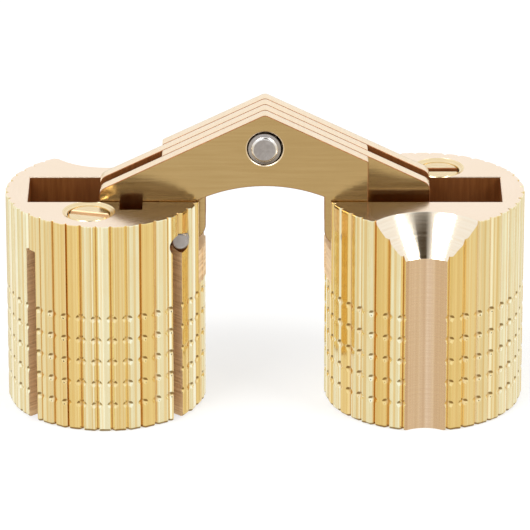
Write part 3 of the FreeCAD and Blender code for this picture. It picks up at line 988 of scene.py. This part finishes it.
def make_rivet():
    """Rivet with a painted highlight on its rolled edge at both ends, a little loose in its hole.
    """
    end = np.array(RIVET_END)
    profile = np.concatenate([end, (0.0, 2 * RIVET_REACH) + end[::-1] * (1.0, -1.0)])
    wall = np.array(RIVET_BRIGHT)[:, None]
    rivet = turned("centre_rivet_pin", profile, [STEEL, BRIGHT], steps=96, wall=wall)
    settle(rivet, TOP_TO_BACK, (RIVET_LOOSE[0], -RIVET_REACH, RIVET_HEIGHT + RIVET_LOOSE[1]))
    stand_for(rivet, "centre_rivet", "links_a")


def make_pins():
    """Pivot pins and slide pins, laid along Y from the places of their ends."""
    slide_height = RIVET_HEIGHT + LEG[1]
    pivot_profile = pin_profile(PIVOT_RADIUS, PIVOT_PIN_LENGTH)
    slide_profile = pin_profile(SLIDE_RADIUS, SLIDE_PIN_LENGTH)
    for side, sign, body in (("left", -1.0, "links_a"), ("right", 1.0, "links_b")):
        turn = TOP_TO_BACK if side == "left" else TOP_TO_FRONT
        pivot = turned(f"{side}_pivot_steel", pivot_profile, [STEEL], steps=48)
        settle(pivot, turn, (sign * EYE[0], sign * PIVOT_PIN_END, PIVOT[1]))
        stand_for(pivot, f"{side}_pivot_pin", f"{side}_barrel")
        slide = turned(f"{side}_slide_steel", slide_profile, [STEEL], steps=48)
        settle(slide, turn, (sign * -LEG[0], sign * SLIDE_PIN_END, slide_height))
        stand_for(slide, f"{side}_slide_pin", body)


def threaded_blank():
    """Screw blank: radius(a, z) = crest - thread depth * triangle(z / pitch - a / turn) - ends(z).

    The thread runs out at both ends, the tip tapers and the top edge is broken.
    """
    angle = np.linspace(0, 2 * np.pi, 48, endpoint=False)
    height = np.linspace(-SCREW_LENGTH, 0.0, 87)
    from_tip = height + SCREW_LENGTH
    turn = (height[:, None] / THREAD_PITCH - angle[None] / (2 * np.pi)) % 1.0
    groove = THREAD_DEPTH * (1 - np.abs(2 * turn - 1))
    full = np.clip(np.minimum(-height, from_tip) / THREAD_RUN_OUT - THREAD_START, 0, 1)[:, None]
    taper = SCREW_TIP * np.clip(1 - from_tip / SCREW_TIP, 0, 1)
    broken = SCREW_BREAK * np.clip(1 + height / SCREW_BREAK, 0, 1)
    radius = SCREW_RADIUS - groove * full - (taper + broken)[:, None]
    return solid("screw_blank", round_rings(radius, angle, height[:, None]), [SCREW])


def make_screws():
    """Both expansion screws with their driver slots, each at its own turn."""
    # The right screw's driver slot carries painted shade; the left one's has the sawn finish.
    for side, sign, angle, finish in (("left", -1.0, -15.0, SAWN), ("right", 1.0, 180.0, SLOT)):
        edges = [
            rectangle(-DRIVER_REACH, DRIVER_REACH, DRIVER_HALF, grow)
            for grow in (0.0, 0.0, DRIVER_GROW)
        ]
        slot = upright("driver_slot_cutter", edges, DRIVER_HEIGHTS, [finish])
        screw = cut(threaded_blank(), [slot])
        screw.name = f"{side}_expansion_screw_turned"
        cosine, sine = math.cos(math.radians(angle)), math.sin(math.radians(angle))
        turn = [[cosine, -sine, 0.0], [sine, cosine, 0.0], [0.0, 0.0, 1.0]]
        place = (sign * (SPACING - SCREW_PLACE[0]), -sign * SCREW_PLACE[1], SCREW_TOP)
        settle(screw, turn, place)
        stand_for(screw, f"{side}_expansion_screw", f"{side}_screw")


def make_floor():
    """Plain pale floor: part of its white is its own, and the rest takes the soft shadow."""
    reach, own_white = 3.0, 0.62
    corners = np.array(
        [(-reach, -reach, 0), (reach, -reach, 0), (reach, reach, 0), (-reach, reach, 0)]
    )
    material, wires, shader = new_finish("pale_floor", 0.0)
    shader.inputs["Base Color"].default_value = (0.86, 0.86, 0.86, 1)
    shader.inputs["Roughness"].default_value = 0.9
    shader.inputs["Specular IOR Level"].default_value = 0.0
    glow = wires.put("ShaderNodeEmission", {"Color": WHITE, "Strength": 1.0})
    seen = wires.put("ShaderNodeLightPath").outputs["Is Camera Ray"]
    share = wires.times(seen, own_white)
    blend = wires.put("ShaderNodeMixShader", {0: share, 1: shader.outputs[0], 2: glow.outputs[0]})
    wires.feed(material.node_tree.nodes["Material Output"].inputs[0], blend.outputs[0])
    floor = meshed("floor", corners, [(0, 1, 2, 3)], [material], [0])
    floor.visible_glossy = False


def gap_above_camera(wires, x, y, z):
    """Mask of the studio's dark gap in front, above the camera and narrower towards the top."""
    front = wires.ramp(y, -0.15, -0.45)
    edge = wires.ramp(z, 0.5, 0.75, 0.42, 0.29)
    off_middle = wires.calc("ABSOLUTE", wires.calc("SUBTRACT", x, 0.14))
    middle = wires.ramp(off_middle, edge, wires.calc("SUBTRACT", edge, 0.18))
    high = wires.ramp(z, 0.26, 0.37)
    return wires.times(wires.times(front, middle), high)


def lower_surround(wires, x, y, z):
    """White surround; below the level its sides are warm, dim and banded, its bottom is dark."""
    low = wires.ramp(z, 0.1, -0.15)
    forward = wires.times(y, -1.0)
    turn = wires.calc("ARCTAN2", wires.calc("ABSOLUTE", x), forward)
    side = wires.times(wires.ramp(turn, 0.2, 0.6), wires.ramp(turn, 2.0, 1.5))
    shade = wires.tint(side, low, WHITE, (0.88, 0.82, 0.7, 1))
    round_about = wires.times(wires.calc("ARCTAN2", x, forward), 3.4)
    noise = wires.put(
        "ShaderNodeTexNoise", {"W": round_about, "Scale": 1.0, "Detail": 1.0}, noise_dimensions="1D"
    )
    bands = wires.times(wires.ramp(noise.outputs[0], 0.42, 0.58), low)
    share = wires.ramp(turn, 1.5, 2.2, 0.52, 0.85)
    shade = wires.tint(bands, share, shade, (0.7, 0.58, 0.36, 1))
    return wires.mix(wires.ramp(z, -0.55, -0.8), shade, (0.3, 0.22, 0.13, 1))


def make_surround():
    """White to the camera; the metal mirrors its dimmer parts."""
    world = bpy.data.worlds.new("studio")
    bpy.context.scene.world = world
    world.use_nodes = True
    wires = Wiring(world.node_tree)
    ray = wires.put("ShaderNodeTexCoord").outputs["Generated"]
    x, y, z = wires.put("ShaderNodeSeparateXYZ", {0: ray}).outputs
    gap = gap_above_camera(wires, x, y, z)
    shade = wires.mix(gap, lower_surround(wires, x, y, z), (0.06, 0.042, 0.022, 1))
    seen = wires.put("ShaderNodeLightPath").outputs["Is Camera Ray"]
    back = world.node_tree.nodes["Background"]
    wires.feed(back.inputs["Color"], wires.mix(seen, shade, WHITE))
    back.inputs["Strength"].default_value = 1.0


def make_lamps():
    """Two large soft lamps beside the camera, aimed at the middle of the hinge."""
    aim = Vector((0, 0, 0.01))
    for name, x, energy in (("left_lamp", -0.36, 3.0), ("right_lamp", 0.56, 3.4)):
        lamp = bpy.data.lights.new(name, "AREA")
        lamp.shape = "RECTANGLE"
        lamp.size = 0.35
        lamp.size_y = 0.45
        lamp.energy = energy
        holder = in_scene(name, lamp)
        holder.location = Vector((x, -0.32, 0.6))
        holder.rotation_euler = (aim - holder.location).to_track_quat("-Z", "Y").to_euler()


def make_camera():
    """Camera in front, a little above, with a long lens."""
    target, distance, rise = Vector((0.0, 0.0, 0.00968)), 0.4, math.radians(23.0)
    camera = bpy.data.cameras.new("camera")
    camera.sensor_width = 36.0
    camera.lens = 388.0
    camera.clip_start = 0.01
    holder = in_scene("camera", camera)
    holder.location = target + Vector((0.0, -math.cos(rise), math.sin(rise))) * distance
    holder.rotation_euler = (math.pi / 2 - rise, 0.0, 0.0)
    bpy.context.scene.camera = holder


make_barrels()
make_links()
make_rivet()
make_pins()
make_screws()
make_floor()
make_surround()
make_lamps()
make_camera()
bpy.context.scene.view_settings.view_transform = "Standard"
bpy.context.view_layer.update()
